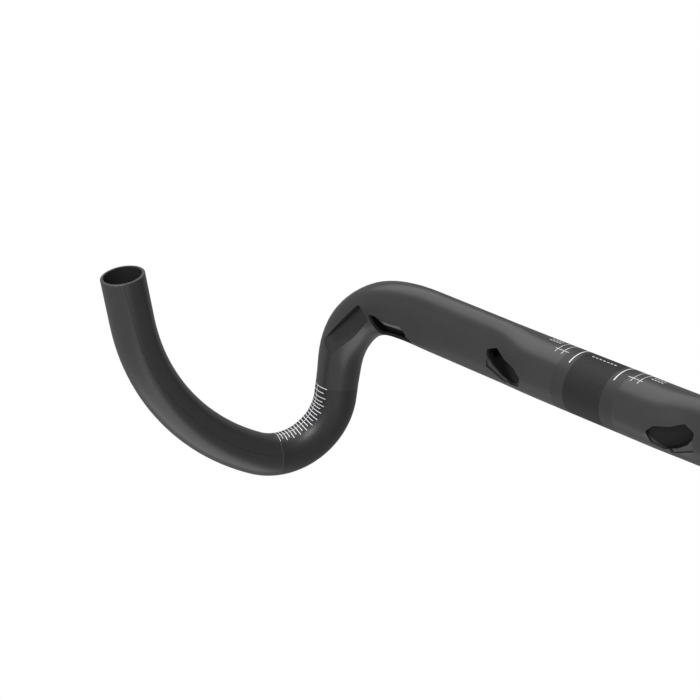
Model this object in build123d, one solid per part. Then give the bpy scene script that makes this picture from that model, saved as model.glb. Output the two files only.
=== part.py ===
from build123d import *
import math
import os
from dataclasses import dataclass

# Drop handlebar for a racing bicycle, in millimetres.
# X points to the rider's right, Y forward and Z up, as the bar sits on the bicycle.
# The origin is the middle of the stem clamp.  Everything is modelled on the right and mirrored.

# Tube sizes
CLAMP_DIAMETER = 31.8
DROP_DIAMETER = 23.8
TOPS_DEPTH = 33.0
TOPS_THICKNESS = 22.0
CORNER_DIAMETER = 27.5
WALL = 1.6

# Centreline, from the clamp out to the end of the bar
CLAMP_HALF_LENGTH = 35.0
TOPS_SWEEP = 3.2
TOPS_FALL = 3.5
TOPS_BEND_RADIUS = 180.0
TOPS_LENGTH = 72.0
CORNER_ENTRY_RADIUS = 130.0
CORNER_ENTRY_ANGLE = 9.0
CORNER_RADIUS = 43.5
RAMP_PITCH = 13.0
RAMP_LENGTH = 21.5
FLARE = 17.5
HOOK_RADIUS = 34.0
HOOK_ANGLE = 107.5
DROP_RADIUS = 121.0
DROP_ANGLE = 56.0
GRIP_LENGTH = 27.5

# Where the clamp zone stops being round, and where the flat oval of the tops starts and ends
ROUND_HALF_LENGTH = 40.0
OVAL_STARTS = 69.0
OVAL_ENDS = 115.0
LOFT_STEPS = 24

# Glued joint between the centre section and each drop
JOINT_FROM_CORNER = 14.0
SLEEVE_LENGTH = 14.0
SLEEVE_WALL = 1.3
END_ROUNDING = 0.5

# Gritty bands let into the surface, flush with it
BAND_DEPTH = 0.4
CLAMP_BAND_HALF_LENGTH = 12.0
LEVER_BAND_HOOK_ANGLE = 87.0

# Cable recesses: each is a hole in the shell, closed from inside by a thin moulded insert
INSERT_WALL = 1.2
POCKET_REACH = 14.0
BRAKE_LINER_DIAMETER = 5.0
SHIFT_LINER_DIAMETER = 4.4
LINER_WALL = 0.5
LINER_SPACING = 5.2
LINER_RISE = 10.0
LINER_START = 2.6
GROOVE_LINER_DEPTH = 6.8
EXIT_LINER_DEPTH = 6.0


def direction(x, y, z):
    return Vector(x, y, z).normalized()


def turned(vector, axis, angle):
    return vector.rotate(Axis((0, 0, 0), axis), angle)


@dataclass
class Straight:
    start: Vector
    heading: Vector
    length: float

    def point(self, distance):
        return self.start + self.heading * distance

    def tangent(self, distance):
        return self.heading

    def solid(self, radius, first, last):
        face = Plane(self.point(first), z_dir=self.heading) * Circle(radius)
        return extrude(face, last - first)


@dataclass
class Bend:
    start: Vector
    heading: Vector
    axis: Vector
    radius: float
    angle: float

    @property
    def length(self):
        return self.radius * math.radians(self.angle)

    def centre(self):
        return self.start + self.axis.cross(self.heading) * self.radius

    def point(self, distance):
        angle = math.degrees(distance / self.radius)
        return self.centre() + turned(self.start - self.centre(), self.axis, angle)

    def tangent(self, distance):
        return turned(self.heading, self.axis, math.degrees(distance / self.radius))

    def solid(self, radius, first, last):
        face = Plane(self.point(first), z_dir=self.tangent(first)) * Circle(radius)
        angle = math.degrees((last - first) / self.radius)
        return revolve(face, Axis(self.centre(), self.axis), angle)


# Headings of the straight parts
ACROSS = Vector(1, 0, 0)
FORWARD = Vector(0, 1, 0)
SWEEP_SLOPE = math.tan(math.radians(TOPS_SWEEP))
FALL_SLOPE = math.tan(math.radians(TOPS_FALL))
TOPS_HEADING = direction(1, -SWEEP_SLOPE, -FALL_SLOPE)
DOWN_THE_DROP = Vector(math.sin(math.radians(FLARE)), 0, -math.cos(math.radians(FLARE)))
DROP_AXIS = FORWARD.cross(DOWN_THE_DROP)
RAMP_HEADING = turned(FORWARD, DROP_AXIS, RAMP_PITCH)
CORNER_AXIS = TOPS_HEADING.cross(RAMP_HEADING).normalized()
CORNER_ANGLE = TOPS_HEADING.get_angle(RAMP_HEADING) - CORNER_ENTRY_ANGLE


def centreline():
    """The straights and bends of the right half, each starting where the last one ends."""
    tops_axis = ACROSS.cross(TOPS_HEADING).normalized()
    clamp = Straight(Vector(0, 0, 0), ACROSS, CLAMP_HALF_LENGTH)
    tops_bend = Bend(clamp.point(clamp.length), ACROSS, tops_axis, TOPS_BEND_RADIUS,
                     ACROSS.get_angle(TOPS_HEADING))
    tops = Straight(tops_bend.point(tops_bend.length), TOPS_HEADING, TOPS_LENGTH)
    entry = Bend(tops.point(tops.length), TOPS_HEADING, CORNER_AXIS, CORNER_ENTRY_RADIUS,
                 CORNER_ENTRY_ANGLE)
    corner = Bend(entry.point(entry.length), entry.tangent(entry.length), CORNER_AXIS,
                  CORNER_RADIUS, CORNER_ANGLE)
    ramp = Straight(corner.point(corner.length), RAMP_HEADING, RAMP_LENGTH)
    hook = Bend(ramp.point(ramp.length), RAMP_HEADING, DROP_AXIS, HOOK_RADIUS, HOOK_ANGLE)
    drop = Bend(hook.point(hook.length), hook.tangent(hook.length), DROP_AXIS, DROP_RADIUS,
                DROP_ANGLE)
    grip = Straight(drop.point(drop.length), drop.tangent(drop.length), GRIP_LENGTH)
    return [clamp, tops_bend, tops, entry, corner, ramp, hook, drop, grip]


SEGMENTS = centreline()
CLAMP, TOPS_BEND, TOPS, ENTRY, CORNER, RAMP, HOOK, DROP, GRIP = SEGMENTS
CORNER_END = CLAMP.length + TOPS_BEND.length + TOPS.length + ENTRY.length + CORNER.length
CORNER_MIDDLE = CORNER_END - CORNER.length / 2
JOINT = CORNER_END + JOINT_FROM_CORNER
HOOK_START = CORNER_END + RAMP.length
BAR_END = HOOK_START + HOOK.length + DROP.length + GRIP.length


def locate(station):
    """The segment that holds a station on the centreline, and the distance along it."""
    for segment in SEGMENTS:
        if station <= segment.length or segment is GRIP:
            return segment, station
        station -= segment.length


def section_plane(station):
    """A plane square to the bar: x towards the inside of the corner, y out of the upper face."""
    segment, distance = locate(station)
    heading = segment.tangent(distance)
    inside = CORNER_AXIS.cross(heading).normalized()
    return Plane(segment.point(distance), x_dir=inside, z_dir=heading)


def tube(radius, first, last):
    """A round bar of the given radius between two stations."""
    pieces = []
    station = 0
    for segment in SEGMENTS:
        begin = max(first - station, 0)
        end = min(last - station, segment.length)
        if end - begin > 1e-6:
            pieces.append(segment.solid(radius, begin, end))
        station += segment.length
    body = pieces[0]
    for piece in pieces[1:]:
        body += piece
    return body


def blend(station, first, last, start, end):
    """A value that eases from start to end between two stations."""
    part = min(max((station - first) / (last - first), 0), 1)
    return start + (end - start) * part * part * (3 - 2 * part)


def width_along(station, tops_width):
    """The width of the section at a station: round, then tops_width, then round again."""
    width = blend(station, ROUND_HALF_LENGTH, OVAL_STARTS, CLAMP_DIAMETER, tops_width)
    width = blend(station, OVAL_ENDS, CORNER_MIDDLE, width, CORNER_DIAMETER)
    return blend(station, CORNER_MIDDLE, JOINT, width, DROP_DIAMETER)


def half_sizes(station):
    """Half the depth and half the thickness of the section at a station."""
    return width_along(station, TOPS_DEPTH) / 2, width_along(station, TOPS_THICKNESS) / 2


def tops_core(inset):
    """The right half of the centre section as a solid bar, drawn in by inset."""
    step = (JOINT - ROUND_HALF_LENGTH) / LOFT_STEPS
    ovals = []
    for number in range(LOFT_STEPS + 1):
        station = ROUND_HALF_LENGTH + step * number
        half_depth, half_thickness = half_sizes(station)
        ovals.append(section_plane(station) * Ellipse(half_depth - inset, half_thickness - inset))
    return loft(ovals) + tube(CLAMP_DIAMETER / 2 - inset, 0, ROUND_HALF_LENGTH)


def skin_point(station, angle):
    """A point on the skin, and the way out of it.  Angle 0 is inside the bend and 90 is up."""
    half_depth, half_thickness = half_sizes(station)
    across = math.cos(math.radians(angle))
    up = math.sin(math.radians(angle))
    reach = 1 / math.hypot(across / half_depth, up / half_thickness)
    plane = section_plane(station)
    outward = plane.x_dir * (across / half_depth ** 2) + plane.y_dir * (up / half_thickness ** 2)
    skin = plane.origin + (plane.x_dir * across + plane.y_dir * up) * reach
    return skin, outward.normalized()


@dataclass
class Scoop:
    """One step of a recess: steep walls along an outline, and a flat sloping floor.

    depth is how far below the middle of the recess the floor lies.
    along and across are how fast the floor gets shallower with x and with y.
    """
    outline: Sketch
    depth: float
    along: float
    across: float

    def cutter(self, plane, margin):
        outline = offset(self.outline, margin) if margin else self.outline
        body = extrude(plane.offset(-POCKET_REACH) * outline, 2 * POCKET_REACH)
        slope = plane.z_dir - plane.x_dir * self.along - plane.y_dir * self.across
        floor = Plane(plane.origin - plane.z_dir * self.depth, z_dir=slope)
        return split(body, bisect_by=floor.offset(-margin), keep=Keep.TOP)


@dataclass
class Pocket:
    """A recess in the skin, made of scoops drawn with x from its deep end to its shallow end.

    The ends are given as (station, angle round the bar) and lie on the skin.
    """
    deep_end: tuple
    shallow_end: tuple
    scoops: list

    def plane(self):
        deep, deep_outward = skin_point(*self.deep_end)
        shallow, shallow_outward = skin_point(*self.shallow_end)
        run = (shallow - deep).normalized()
        sideways = (deep_outward + shallow_outward).cross(run).normalized()
        return Plane((deep + shallow) * 0.5, x_dir=run, z_dir=run.cross(sideways))

    def cutter(self, margin):
        """The space of the recess, grown by margin on its walls and its floors."""
        plane = self.plane()
        body = self.scoops[0].cutter(plane, margin)
        for scoop in self.scoops[1:]:
            body += scoop.cutter(plane, margin)
        return body

    def liner_end(self, side, depth):
        """Where a liner starts, a little way out of the wall of the deep end."""
        plane = self.plane()
        section = section_plane(self.deep_end[0])
        wall = self.scoops[0].outline.bounding_box().min.X
        middle = plane.origin + plane.x_dir * (wall + LINER_START) - plane.z_dir * depth
        return middle + section.x_dir * side


def rounded_polygon(points, rounding):
    return fillet(Polygon(*points, align=None).vertices(), rounding)


# Recesses on the right half
GROOVE = Pocket(
    deep_end=(156, -90), shallow_end=(192, -88),
    scoops=[Scoop(RectangleRounded(37, 10.8, 2.6), depth=3.0, along=0.13, across=0.0)])
WINDOW = Pocket(
    deep_end=(150, -48), shallow_end=(126, -40),
    scoops=[
        Scoop(rounded_polygon([(-14.2, -7.4), (-10, -7.3), (-6, -1.2), (9, -0.6), (12, 2.5),
                               (12, 6.3), (-8.8, 6.3)], 0.8),
              depth=5.0, along=0.0, across=0.0),
        Scoop(rounded_polygon([(-11, -7.3), (2.2, -7), (6.5, -5.8), (9.8, -2.3), (11, 0),
                               (-8, 0)], 0.8),
              depth=2.9, along=0.0, across=-0.17)])
EXIT = Pocket(
    deep_end=(68, -95), shallow_end=(43, -66),
    scoops=[
        Scoop(rounded_polygon([(-14.2, -1), (-9, -5.2), (-1, -4.3), (8, -5.2), (13.6, -2.5),
                               (12.6, 4), (6.5, 7.2), (-1, 7.2), (-8.5, 5), (-13, 2)], 1.4),
              depth=4.4, along=0.2, across=-0.08),
        Scoop(rounded_polygon([(-12.4, 1), (3, 2), (3, 9.6), (-11.6, 8.4)], 0.9),
              depth=1.0, along=-0.15, across=-0.17)])


def liner_rod(side, diameter):
    """A solid rod along a cable liner, from the groove by the corner to the exit recess."""
    start = GROOVE.liner_end(side, GROOVE_LINER_DEPTH)
    end = EXIT.liner_end(side, EXIT_LINER_DEPTH)
    corner_section = section_plane(GROOVE.deep_end[0])
    exit_section = section_plane(EXIT.deep_end[0])
    start_heading = turned(corner_section.z_dir * -1, corner_section.x_dir, LINER_RISE)
    end_heading = turned(exit_section.z_dir * -1, exit_section.x_dir, -LINER_RISE)
    path = Spline([start, end], tangents=[start_heading, end_heading])
    return sweep(Plane(start, z_dir=start_heading) * Circle(diameter / 2), path=path)


def export(body, name):
    body.label = name
    export_step(body, "parts/" + name + ".step")


def export_pair(body, name):
    """Write the right-hand piece and its mirror image on the left."""
    export(body, name + "_right")
    export(mirror(body, about=Plane.YZ), name + "_left")


def build():
    core = tops_core(0)
    bore = tops_core(WALL)
    groove = GROOVE.cutter(0)
    window = WINDOW.cutter(0)
    exit_recess = EXIT.cutter(0)

    brake_rod = liner_rod(-LINER_SPACING / 2, BRAKE_LINER_DIAMETER)
    brake_hole = liner_rod(-LINER_SPACING / 2, BRAKE_LINER_DIAMETER - 2 * LINER_WALL)
    shift_rod = liner_rod(LINER_SPACING / 2, SHIFT_LINER_DIAMETER)
    shift_hole = liner_rod(LINER_SPACING / 2, SHIFT_LINER_DIAMETER - 2 * LINER_WALL)
    brake_liner = brake_rod - brake_hole - groove - exit_recess
    shift_liner = shift_rod - shift_hole - groove - exit_recess

    groove_insert = (GROOVE.cutter(INSERT_WALL) & bore) - groove - brake_rod - shift_rod
    window_insert = (WINDOW.cutter(INSERT_WALL) & bore) - window - brake_rod - shift_rod
    exit_insert = (EXIT.cutter(INSERT_WALL) & bore) - exit_recess - brake_rod - shift_rod
    groove_insert -= window_insert

    half_shell = core - bore - groove - window - exit_recess
    clamp_band = tube(CLAMP_DIAMETER / 2, 0, CLAMP_BAND_HALF_LENGTH)
    clamp_band -= tube(CLAMP_DIAMETER / 2 - BAND_DEPTH, 0, CLAMP_BAND_HALF_LENGTH)
    half_shell -= clamp_band
    export(half_shell + mirror(half_shell, about=Plane.YZ), "centre_section")
    export(clamp_band + mirror(clamp_band, about=Plane.YZ), "clamp_grip_band")

    band_end = HOOK_START + HOOK_RADIUS * math.radians(LEVER_BAND_HOOK_ANGLE)
    lever_band = tube(DROP_DIAMETER / 2, JOINT, band_end)
    lever_band -= tube(DROP_DIAMETER / 2 - BAND_DEPTH, JOINT, band_end)
    drop = tube(DROP_DIAMETER / 2 - BAND_DEPTH, JOINT, band_end)
    drop += tube(DROP_DIAMETER / 2, band_end, BAR_END)
    drop -= tube(DROP_DIAMETER / 2 - WALL, JOINT, BAR_END)
    bar_end = GRIP.point(GRIP.length)
    rims = [edge for edge in drop.edges().filter_by(GeomType.CIRCLE)
            if (edge.arc_center - bar_end).length < 0.01]
    outer_rim = max(rims, key=lambda edge: edge.radius)
    drop = fillet(outer_rim, END_ROUNDING)
    sleeve = tube(DROP_DIAMETER / 2 - WALL, JOINT - SLEEVE_LENGTH / 2, JOINT + SLEEVE_LENGTH / 2)
    sleeve -= tube(DROP_DIAMETER / 2 - WALL - SLEEVE_WALL, JOINT - SLEEVE_LENGTH / 2,
                   JOINT + SLEEVE_LENGTH / 2)

    export_pair(drop, "drop")
    export_pair(sleeve, "joint_sleeve")
    export_pair(lever_band, "lever_grip_band")
    export_pair(groove_insert, "groove_insert")
    export_pair(window_insert, "window_insert")
    export_pair(exit_insert, "exit_insert")
    export_pair(brake_liner, "brake_hose_liner")
    export_pair(shift_liner, "shift_cable_liner")


os.makedirs("parts", exist_ok=True)
build()
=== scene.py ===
import math

import bpy
from mathutils import Matrix, Quaternion, Vector


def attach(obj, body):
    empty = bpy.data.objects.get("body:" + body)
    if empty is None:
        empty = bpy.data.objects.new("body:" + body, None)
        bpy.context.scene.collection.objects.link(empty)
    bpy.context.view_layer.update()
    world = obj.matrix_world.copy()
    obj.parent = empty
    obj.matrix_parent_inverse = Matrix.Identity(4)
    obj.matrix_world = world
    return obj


# Metres, in the handlebar's own frame: X to the rider's right, Y forward, Z up.
# The handlebar's left half is the mirror image of its right half.

# Right half as in the solid model: the radii of its round parts and its centreline
CLAMP_RADIUS = 0.0159
DROP_RADIUS = 0.0119
CLAMP_HALF_LENGTH = 0.035
TOPS_BEND_RADIUS = 0.180
TOPS_SWEEP = math.radians(3.2)
TOPS_FALL = math.radians(3.5)
TOPS_LENGTH = 0.072
CORNER_ENTRY_RADIUS = 0.130
CORNER_ENTRY_ANGLE = math.radians(9)
CORNER_RADIUS = 0.0435
RAMP_PITCH = math.radians(13)
RAMP_LENGTH = 0.0215
FLARE = math.radians(17.5)
HOOK_RADIUS = 0.034
HOOK_ANGLE = math.radians(107.5)
BAND_HOOK_ANGLE = math.radians(87)
LOWER_RADIUS = 0.121
LOWER_ANGLE = math.radians(56)
GRIP_LENGTH = 0.0275
JOINT_FROM_CORNER = 0.014

# Window recess in the underside of the corner: its middle, and the way out of it
WINDOW_MIDDLE = (0.1357, 0.0038, -0.0173)
WINDOW_OUTWARD = (-0.136, 0.333, -0.933)
# Depth below which the window nylon is painted black as shade, and the width of the fade into it
WINDOW_PAINTED_SHADE_DEPTH = 0.0036
WINDOW_PAINTED_SHADE_FADE = 0.0003

# Rougher ring of skin beside the stem
RING_START = 0.0120
RING_END = 0.0202
RING_EXTRA_ROUGHNESS = 0.12

# Blue of every grey, against its red and green
COOL_TINT = 1.03

# Paint: its height above the skin and the widths of its lines
PAINT_LIFT = 0.00004
THIN_LINE = 0.0003
TICK_LINE = 0.0004
THICK_LINE = 0.0006

# Lever scale. Angles are in degrees round the drop, and each reach is given at the first tick
# and at the last.
LEVER_LINE_ANGLE = 2
LEVER_TICKS = 21
TICK_MARGIN = 0.0003
LONG_TICK_REACH = (39, 28)
SHORT_TICK_REACH = (31, 21)

# Clamp scale, by distance from the middle of the bar
THICK_ARC = 0.0146
THIN_ARCS = (0.0226, 0.0268)
CROSS_LINE_START = 0.0195
CROSS_LINE_END = 0.0285
SIDE_DASHES_START = 0.0295
SIDE_DASH_PITCH = 0.0020
CENTRE_DASHES_START = -0.0080
CENTRE_DASH_PITCH = 0.0024
DASH_LENGTH = 0.0015

# Studio: the point its lamps aim at, its floor, and the strength of its white world
LAMP_TARGET = Vector((-0.10, 0.0, -0.03))
FLOOR_HEIGHT = -1.1
FLOOR_HALF_WIDTH = 6.0
WORLD_AS_LIGHT = 0.36
WORLD_AS_BACKGROUND = 1.0

# Camera: where it stands, where it looks, how far it sees, and its lens and sensor in millimetres
CAMERA_PLACE = Vector((0.61014, -0.47632, -0.65376))
CAMERA_FORWARD = Vector((-0.69394, 0.44597, 0.56529))
CAMERA_UP = Vector((-0.28797, -0.89147, 0.34980))
CAMERA_RIGHT = CAMERA_FORWARD.cross(CAMERA_UP)
CAMERA_RANGE = 20
CAMERA_LENS = 105.35
CAMERA_SENSOR = 36


# ---------------------------------------------------------------- centreline

def straight(start, heading, length):
    """A straight segment: a function from distance to point and heading, and its length."""
    def place(distance):
        return start + heading * distance, heading
    return place, length


def bend(start, heading, axis, radius, angle):
    """A circular segment, described in the same way."""
    centre = start + axis.cross(heading) * radius

    def place(distance):
        turn = Quaternion(axis, distance / radius)
        return centre + turn @ (start - centre), turn @ heading
    return place, radius * angle


def build_centreline():
    """The segments from the middle of the bar to its open end, and the axis of the drop's bends."""
    across = Vector((1, 0, 0))
    forward = Vector((0, 1, 0))
    tops = Vector((1, -math.tan(TOPS_SWEEP), -math.tan(TOPS_FALL))).normalized()
    down = Vector((math.sin(FLARE), 0, -math.cos(FLARE)))
    drop_axis = forward.cross(down)
    ramp = Quaternion(drop_axis, RAMP_PITCH) @ forward
    corner_axis = tops.cross(ramp).normalized()
    shapes = [
        (straight, CLAMP_HALF_LENGTH),
        (bend, across.cross(tops).normalized(), TOPS_BEND_RADIUS, across.angle(tops)),
        (straight, TOPS_LENGTH),
        (bend, corner_axis, CORNER_ENTRY_RADIUS, CORNER_ENTRY_ANGLE),
        (bend, corner_axis, CORNER_RADIUS, tops.angle(ramp) - CORNER_ENTRY_ANGLE),
        (straight, RAMP_LENGTH),
        (bend, drop_axis, HOOK_RADIUS, HOOK_ANGLE),
        (bend, drop_axis, LOWER_RADIUS, LOWER_ANGLE),
        (straight, GRIP_LENGTH),
    ]
    segments = []
    point, heading = Vector((0, 0, 0)), across
    for shape, *sizes in shapes:
        place, length = shape(point, heading, *sizes)
        segments.append((place, length))
        point, heading = place(length)
    return segments, drop_axis


# Stations: distances along the centreline from the middle of the bar. The fifth segment is the
# last one of the corner.
SEGMENTS, DROP_AXIS = build_centreline()
CORNER_END = sum(length for _, length in SEGMENTS[:5])
BAND_START = CORNER_END + JOINT_FROM_CORNER
HOOK_START = CORNER_END + RAMP_LENGTH
BAND_END = HOOK_START + HOOK_RADIUS * BAND_HOOK_ANGLE
BAR_END = sum(length for _, length in SEGMENTS)


def on_centreline(station):
    """The point and heading at a station."""
    for place, length in SEGMENTS[:-1]:
        if station <= length:
            return place(station)
        station -= length
    return SEGMENTS[-1][0](station)


def on_drop(station, angle):
    """A point on the skin of the drop. Angle 0 is the inside of the hook, 90 the inboard side."""
    point, heading = on_centreline(station)
    inside = DROP_AXIS.cross(heading)
    turn = math.radians(angle)
    outward = inside * math.cos(turn) + DROP_AXIS * math.sin(turn)
    return point + outward * (DROP_RADIUS + PAINT_LIFT), outward


def on_clamp(across, angle):
    """A point on the round clamp zone. Angle 0 is the back and 90 is the underside."""
    turn = math.radians(angle)
    outward = Vector((0, -math.cos(turn), -math.sin(turn)))
    return Vector((across, 0, 0)) + outward * (CLAMP_RADIUS + PAINT_LIFT), outward


# ------------------------------------------------------------------- meshes

def add_mesh(name, points, faces, material):
    data = bpy.data.meshes.new(name)
    data.from_pydata(points, [], faces)
    data.update()
    piece = bpy.data.objects.new(name, data)
    bpy.context.scene.collection.objects.link(piece)
    piece.data.materials.append(material)
    return piece


def between(start, end, part):
    """The surface coordinates that lie this part of the way from start to end."""
    return [first + (last - first) * part for first, last in zip(start, end)]


class Paint:
    """Painted strips that follow the skin, gathered into one piece."""

    def __init__(self):
        self.points = []
        self.faces = []

    def strip(self, surface, start, end, width, steps):
        """A strip from start to end, each a pair of surface coordinates."""
        base = len(self.points)
        nudge = 0.01  # how far ahead the strip looks for its direction, as a part of its length
        for step in range(steps + 1):
            part = step / steps
            point, outward = surface(*between(start, end, part))
            along = surface(*between(start, end, part + nudge))[0] - point
            side = outward.cross(along).normalized() * width / 2
            self.points += [point - side, point + side]
        for step in range(steps):
            first = base + 2 * step
            self.faces.append((first, first + 1, first + 3, first + 2))

    def dashes(self, count, start, pitch, angle):
        """A row of short dashes across the clamp zone."""
        for number in range(count):
            first = start + pitch * number
            self.strip(on_clamp, (first, angle), (first + DASH_LENGTH, angle), THICK_LINE, 1)

    def add(self, name, material):
        piece = add_mesh(name, self.points, self.faces, material)
        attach(piece, "root")

    def add_both_sides(self, name, material):
        """The piece on the right, then its mirror image on the left."""
        self.add(name + "_right", material)
        self.points = [Vector((-point.x, point.y, point.z)) for point in self.points]
        self.faces = [tuple(reversed(face)) for face in self.faces]
        self.add(name + "_left", material)


# ---------------------------------------------------------------- materials

def new_material(name):
    """A material with its nodes, its links and its shader."""
    material = bpy.data.materials.new(name)
    material.use_nodes = True
    nodes = material.node_tree.nodes
    return material, nodes, material.node_tree.links, nodes["Principled BSDF"]


def noise(nodes, links, scale, detail):
    """Noise between 0 and 1. Its scale is about the number of blobs to the metre."""
    texture = nodes.new("ShaderNodeTexNoise")
    texture.inputs["Scale"].default_value = scale
    texture.inputs["Detail"].default_value = detail
    place = nodes.new("ShaderNodeNewGeometry").outputs["Position"]
    links.new(place, texture.inputs["Vector"])
    return texture.outputs["Fac"]


def mapped(nodes, links, value, low, high, from_low=0.0, from_high=1.0):
    """The value carried over in proportion to the range from low to high."""
    node = nodes.new("ShaderNodeMapRange")
    node.inputs["From Min"].default_value = from_low
    node.inputs["From Max"].default_value = from_high
    node.inputs["To Min"].default_value = low
    node.inputs["To Max"].default_value = high
    links.new(value, node.inputs["Value"])
    return node.outputs["Result"]


def grey(nodes, links, value, low, high):
    """A cool grey as light as low where the value is 0 and as high where it is 1."""
    ramp = nodes.new("ShaderNodeValToRGB")
    ramp.color_ramp.elements[0].color = (low, low, low * COOL_TINT, 1)
    ramp.color_ramp.elements[1].color = (high, high, high * COOL_TINT, 1)
    links.new(value, ramp.inputs["Fac"])
    return ramp.outputs["Color"]


def calculated(nodes, links, kind, operation, *values):
    """A Math or VectorMath node. Each value is a number, a vector or another node's output."""
    node = nodes.new(kind)
    node.operation = operation
    for socket, value in zip(node.inputs, values):
        if isinstance(value, bpy.types.NodeSocket):
            links.new(value, socket)
        else:
            socket.default_value = value
    return node


def on_right_half(nodes, links):
    """The place of a point, with the left half folded over onto the right, and its x."""
    place = nodes.new("ShaderNodeNewGeometry").outputs["Position"]
    parts = nodes.new("ShaderNodeSeparateXYZ")
    links.new(place, parts.inputs["Vector"])
    across = calculated(nodes, links, "ShaderNodeMath", "ABSOLUTE", parts.outputs["X"])
    folded = nodes.new("ShaderNodeCombineXYZ")
    links.new(across.outputs["Value"], folded.inputs["X"])
    links.new(parts.outputs["Y"], folded.inputs["Y"])
    links.new(parts.outputs["Z"], folded.inputs["Z"])
    return folded.outputs["Vector"], across.outputs["Value"]


def bumped(nodes, links, shader, height, distance, strength):
    """Gives the shader a fine relief."""
    bump = nodes.new("ShaderNodeBump")
    bump.inputs["Distance"].default_value = distance
    bump.inputs["Strength"].default_value = strength
    links.new(height, bump.inputs["Height"])
    links.new(bump.outputs["Normal"], shader.inputs["Normal"])


def laminate():
    """Satin black laminate, rougher in the ring beside the stem."""
    material, nodes, links, shader = new_material("satin_laminate")
    fine = noise(nodes, links, 1800, 3)
    cloud = noise(nodes, links, 35, 3)
    links.new(grey(nodes, links, cloud, 0.018, 0.028), shader.inputs["Base Color"])
    across = on_right_half(nodes, links)[1]
    middle = (RING_START + RING_END) / 2
    half_width = (RING_END - RING_START) / 2
    ring = calculated(nodes, links, "ShaderNodeMath", "COMPARE", across, middle, half_width)
    smooth = mapped(nodes, links, cloud, 0.31, 0.37)
    roughness = calculated(nodes, links, "ShaderNodeMath", "MULTIPLY_ADD", ring.outputs["Value"],
                           RING_EXTRA_ROUGHNESS, smooth)
    gloss = mapped(nodes, links, ring.outputs["Value"], 0.5, 0.38)
    links.new(roughness.outputs["Value"], shader.inputs["Roughness"])
    links.new(gloss, shader.inputs["Specular IOR Level"])
    bumped(nodes, links, shader, fine, 0.00002, 0.25)
    return material


def grit():
    """Black coat with fine hard grains, round the hooks."""
    material, nodes, links, shader = new_material("grit_coat")
    grains = noise(nodes, links, 2600, 4)
    links.new(grey(nodes, links, grains, 0.006, 0.02), shader.inputs["Base Color"])
    links.new(mapped(nodes, links, grains, 0.34, 0.50), shader.inputs["Roughness"])
    bumped(nodes, links, shader, grains, 0.0001, 0.5)
    return material


def coarse_grit():
    """Darker and rougher coat under the stem."""
    material, nodes, links, shader = new_material("coarse_grit_coat")
    grains = noise(nodes, links, 1500, 4)
    links.new(grey(nodes, links, grains, 0.004, 0.02), shader.inputs["Base Color"])
    links.new(mapped(nodes, links, grains, 0.45, 0.70), shader.inputs["Roughness"])
    shader.inputs["Specular IOR Level"].default_value = 0.30
    bumped(nodes, links, shader, grains, 0.0002, 0.8)
    return material


def moulded(name, dark, light, gloss):
    """Moulded nylon of the inserts and liners."""
    material, nodes, links, shader = new_material(name)
    fine = noise(nodes, links, 900, 3)
    links.new(grey(nodes, links, fine, dark, light), shader.inputs["Base Color"])
    links.new(mapped(nodes, links, fine, 0.40, 0.55), shader.inputs["Roughness"])
    shader.inputs["Specular IOR Level"].default_value = gloss
    return material


def window_nylon_painted_shade_and_light():
    """Nylon of the window inserts, with painted shade and painted light: black as painted shade in
    the depth, pale as painted light on the raised tongue where it faces out and down.
    """
    material, nodes, links, shader = new_material("window_nylon_painted_shade_and_light")
    place = on_right_half(nodes, links)[0]
    normal = nodes.new("ShaderNodeNewGeometry").outputs["True Normal"]
    # Without its x, the way out is the same for both windows.
    downward = (0.0, WINDOW_OUTWARD[1], WINDOW_OUTWARD[2])
    offset = calculated(nodes, links, "ShaderNodeVectorMath", "SUBTRACT", place, WINDOW_MIDDLE)
    height = calculated(nodes, links, "ShaderNodeVectorMath", "DOT_PRODUCT",
                        offset.outputs["Vector"], WINDOW_OUTWARD)
    facing_out = calculated(nodes, links, "ShaderNodeVectorMath", "DOT_PRODUCT", normal, downward)
    # Painted shade below the tongue's depth, and painted light where the surface faces out of the
    # window towards the lamps.
    shallow = mapped(nodes, links, height.outputs["Value"], 0.0, 1.0,
                     -WINDOW_PAINTED_SHADE_DEPTH - WINDOW_PAINTED_SHADE_FADE, -WINDOW_PAINTED_SHADE_DEPTH)
    flat = mapped(nodes, links, facing_out.outputs["Value"], 0.0, 1.0, 0.7, 0.8)
    both = calculated(nodes, links, "ShaderNodeMath", "MULTIPLY", shallow, flat)
    painted_light_mask = both.outputs["Value"]
    links.new(grey(nodes, links, painted_light_mask, 0.004, 0.10), shader.inputs["Base Color"])
    links.new(mapped(nodes, links, painted_light_mask, 0.1, 0.5), shader.inputs["Specular IOR Level"])
    shader.inputs["Roughness"].default_value = 0.45
    return material


def matte(name, grain, dark, light, roughness):
    """Paint or raw laminate, evenly rough and mottled between two greys."""
    material, nodes, links, shader = new_material(name)
    mottling = noise(nodes, links, grain, 2)
    links.new(grey(nodes, links, mottling, dark, light), shader.inputs["Base Color"])
    shader.inputs["Roughness"].default_value = roughness
    return material


def pale_floor():
    """Pale floor that glows a little, so that it stays even."""
    material, nodes, links, shader = new_material("pale_floor")
    cloud = noise(nodes, links, 3, 2)
    pale = grey(nodes, links, cloud, 0.78, 0.82)
    links.new(pale, shader.inputs["Base Color"])
    links.new(pale, shader.inputs["Emission Color"])
    shader.inputs["Emission Strength"].default_value = 0.25
    shader.inputs["Roughness"].default_value = 0.9
    return material


# ------------------------------------------------------------------- pieces

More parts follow.
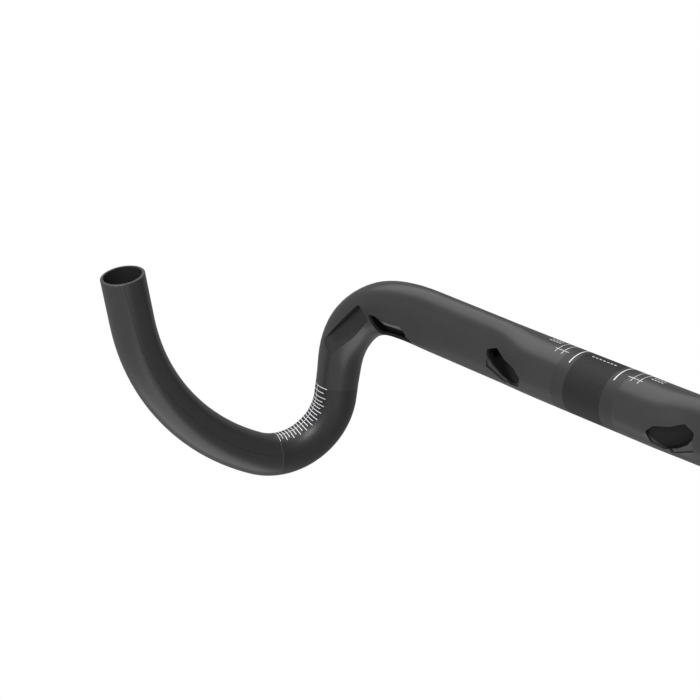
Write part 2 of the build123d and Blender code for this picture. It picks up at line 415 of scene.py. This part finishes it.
def add_lever_scale(material):
    """Graduations round the inside of each hook: one long line crossed by ticks."""
    paint = Paint()
    paint.strip(on_drop, (BAND_START, LEVER_LINE_ANGLE), (BAND_END, LEVER_LINE_ANGLE),
                THIN_LINE, 60)
    length = BAND_END - BAND_START - 2 * TICK_MARGIN
    for number in range(LEVER_TICKS):
        part = number / (LEVER_TICKS - 1)
        station = BAND_START + TICK_MARGIN + length * part
        first, last = LONG_TICK_REACH if number % 2 == 0 else SHORT_TICK_REACH
        reach = first + (last - first) * part
        paint.strip(on_drop, (station, -reach), (station, reach), TICK_LINE, 10)
    paint.add_both_sides("lever_scale", material)


def add_clamp_scale(material):
    """Lines either side of the stem, for centring the bar and setting its angle."""
    paint = Paint()
    paint.strip(on_clamp, (THICK_ARC, -60), (THICK_ARC, 28), THICK_LINE, 30)
    for across in THIN_ARCS:
        paint.strip(on_clamp, (across, -45), (across, 17), THIN_LINE, 20)
    paint.strip(on_clamp, (CROSS_LINE_START, 8), (CROSS_LINE_END, 8), THIN_LINE, 4)
    for angle in (-18, -10):
        paint.dashes(4, SIDE_DASHES_START, SIDE_DASH_PITCH, angle)
    paint.add_both_sides("clamp_scale", material)
    middle = Paint()
    middle.dashes(7, CENTRE_DASHES_START, CENTRE_DASH_PITCH, -8)
    middle.add("clamp_centre_marks", material)


def add_parting_line(material):
    """The faint mould line along the inboard side of each drop."""
    short_of_rim = 0.0007
    paint = Paint()
    corners = [(BAND_END, 68), (0.300, 74), (0.345, 79), (0.375, 90),
               (BAR_END - short_of_rim, 106)]
    for start, end in zip(corners, corners[1:]):
        paint.strip(on_drop, start, end, THIN_LINE, 20)
    paint.add_both_sides("parting_line", material)


def add_band_edge(material):
    """The thin paler ring painted where each gritty band ends at the bottom of the hook."""
    paint = Paint()
    paint.strip(on_drop, (BAND_END, -180), (BAND_END, 180), THIN_LINE, 72)
    paint.add_both_sides("band_edge", material)


def paint_solids(nodes):
    """Gives each solid the finish of its kind. Those without one are skin."""
    skin = laminate()
    finishes = {
        "clamp_grip_band": coarse_grit(),
        "lever_grip_band": grit(),
        "groove_insert": moulded("grey_nylon", 0.012, 0.02, 0.40),
        # Window inserts: painted shade in their depth and painted light on their tongue
        "window_insert": window_nylon_painted_shade_and_light(),
        # Near black, partly the nylon's own colour and partly painted shade for the inside of the
        # exit holes
        "exit_insert": moulded("black_nylon_with_painted_shade", 0.004, 0.009, 0.20),
        "liner": moulded("liner_nylon", 0.004, 0.009, 0.20),
        "sleeve": matte("raw_laminate", 400, 0.02, 0.04, 0.6),
    }
    for name, node in nodes.items():
        node.data.materials.clear()
        matches = [finish for word, finish in finishes.items() if word in name]
        node.data.materials.append(matches[0] if matches else skin)


# ------------------------------------------------------------------- studio

def facing(forward, up):
    """The rotation of a camera or lamp that looks forward with its top toward up."""
    right = forward.cross(up).normalized()
    level = right.cross(forward).normalized()
    return Matrix((right, level, -forward)).transposed().to_4x4()


def add_camera():
    data = bpy.data.cameras.new("camera")
    data.lens = CAMERA_LENS
    data.sensor_width = CAMERA_SENSOR
    data.clip_end = CAMERA_RANGE
    camera = bpy.data.objects.new("camera", data)
    bpy.context.scene.collection.objects.link(camera)
    camera.matrix_world = Matrix.Translation(CAMERA_PLACE) @ facing(CAMERA_FORWARD, CAMERA_UP)
    bpy.context.scene.camera = camera


def add_softbox(name, right, up, back, distance, size, power):
    """A square softbox aimed at the bar. Its direction is given as seen from the camera."""
    direction = (CAMERA_RIGHT * right + CAMERA_UP * up - CAMERA_FORWARD * back).normalized()
    data = bpy.data.lights.new(name, "AREA")
    data.shape = "SQUARE"
    data.size = size
    data.energy = power
    lamp = bpy.data.objects.new(name, data)
    bpy.context.scene.collection.objects.link(lamp)
    place = LAMP_TARGET + direction * distance
    lamp.matrix_world = Matrix.Translation(place) @ facing(-direction, CAMERA_FORWARD)
    lamp.visible_camera = False


def add_world():
    """White to the camera, dimmer as a light."""
    world = bpy.data.worlds.new("studio")
    world.use_nodes = True
    nodes = world.node_tree.nodes
    links = world.node_tree.links
    seen = nodes.new("ShaderNodeLightPath").outputs["Is Camera Ray"]
    strength = nodes.new("ShaderNodeMapRange")
    strength.inputs["To Min"].default_value = WORLD_AS_LIGHT
    strength.inputs["To Max"].default_value = WORLD_AS_BACKGROUND
    links.new(seen, strength.inputs["Value"])
    background = nodes["Background"]
    background.inputs["Color"].default_value = (1, 1, 1, 1)
    links.new(strength.outputs["Result"], background.inputs["Strength"])
    bpy.context.scene.world = world
    bpy.context.scene.view_settings.view_transform = "Standard"


def add_floor():
    half = FLOOR_HALF_WIDTH
    corners = [(-half, -half), (half, -half), (half, half), (-half, half)]
    points = [(x, y, FLOOR_HEIGHT) for x, y in corners]
    floor = add_mesh("floor", points, [(0, 1, 2, 3)], pale_floor())


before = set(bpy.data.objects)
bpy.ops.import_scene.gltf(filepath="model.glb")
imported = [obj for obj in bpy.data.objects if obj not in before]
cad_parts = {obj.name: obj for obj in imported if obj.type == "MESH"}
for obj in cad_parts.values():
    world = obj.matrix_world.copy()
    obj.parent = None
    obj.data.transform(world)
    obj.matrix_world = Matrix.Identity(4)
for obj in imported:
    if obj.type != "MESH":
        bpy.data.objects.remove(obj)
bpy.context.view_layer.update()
paint_solids(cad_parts)
white_print = matte("white_print", 1500, 0.75, 0.9, 0.6)
add_lever_scale(white_print)
add_clamp_scale(white_print)
add_parting_line(matte("parting_line_shade", 1500, 0.006, 0.012, 0.6))
add_band_edge(matte("pale_band_edge", 1500, 0.03, 0.12, 0.5))
add_floor()
add_world()
add_camera()
add_softbox("overhead", right=-0.25, up=0.95, back=-0.05, distance=1.1, size=1.1, power=7)
add_softbox("front", right=-0.34, up=0.41, back=0.85, distance=1.3, size=0.30, power=10)
add_softbox("below", right=-0.30, up=-0.95, back=0.10, distance=1.6, size=2.2, power=22)
